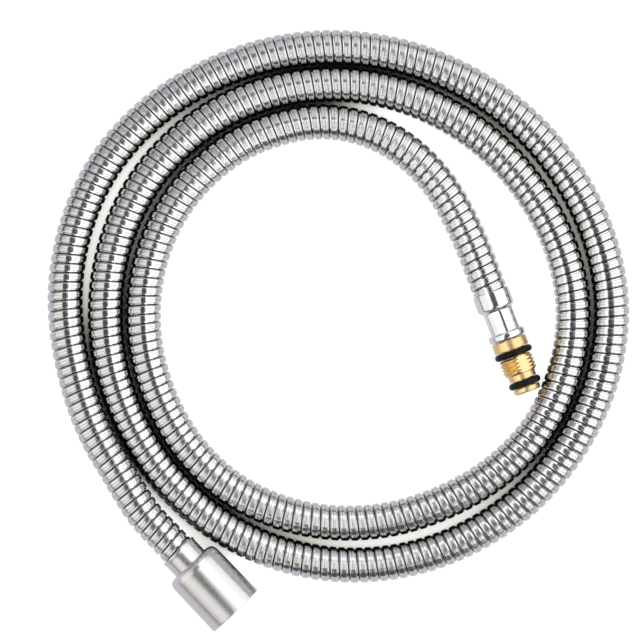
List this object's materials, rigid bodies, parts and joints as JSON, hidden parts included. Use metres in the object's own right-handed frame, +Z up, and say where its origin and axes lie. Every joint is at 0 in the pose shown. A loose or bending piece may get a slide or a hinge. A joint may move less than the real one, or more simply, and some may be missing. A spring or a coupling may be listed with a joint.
{
  "type": "flexible sprayer hose",
  "caption": "Flexible ribbed metal hose for a handheld bath sprayer, lying in loose flat turns, with a swivel cup nut at one end and a hex ferrule with a threaded spigot at the other.",
  "frame": {"origin": "bottom centre of the whole hose's bounding box, on the surface that the turns lie on", "axes": "+Z up, square to the flat turns; the swivel nut's mouth opens towards -Y"},
  "size_m": [0.2356, 0.2278, 0.0239],
  "materials": {
    "sheath_metal": "bright satin nickel strip",
    "brushed_nickel": "brushed satin nickel",
    "chrome": "polished chrome",
    "brass": "turned bare brass",
    "black_rubber": "smooth moulded rubber",
    "tube_rubber": "matt grey rubber tube",
    "white_acetal": "smooth moulded acetal"
  },
  "bodies": {
    "hose": {"hose_nut_run": "sheath_metal", "hose_coil": "sheath_metal", "hose_spigot_run": "sheath_metal", "inner_tube": "tube_rubber", "nut_end_ferrule": "brushed_nickel", "nut_end_insert": "brass", "nut_end_crimp_sleeve": "chrome", "nut_washer": "black_rubber", "hex_ferrule": "chrome", "spigot_crimp_sleeve": "chrome", "threaded_spigot": "brass", "collar_o_ring": "black_rubber", "nose_o_ring": "black_rubber"},
    "glide_ring": {"nut_glide_ring": "white_acetal"},
    "nut": {"swivel_nut": "brushed_nickel"}
  },
  "joints": [
    {"name": "nut_slide", "type": "slide", "parent": "hose", "child": "glide_ring", "axis": [0, 1, 0], "range_m": [0, 0.0057]},
    {"name": "nut_spin", "type": "hinge", "parent": "glide_ring", "child": "nut", "pos_m": [-0.10587, -0.04414, 0.01197], "axis": [0, 1, 0], "continuous": true}
  ]
}
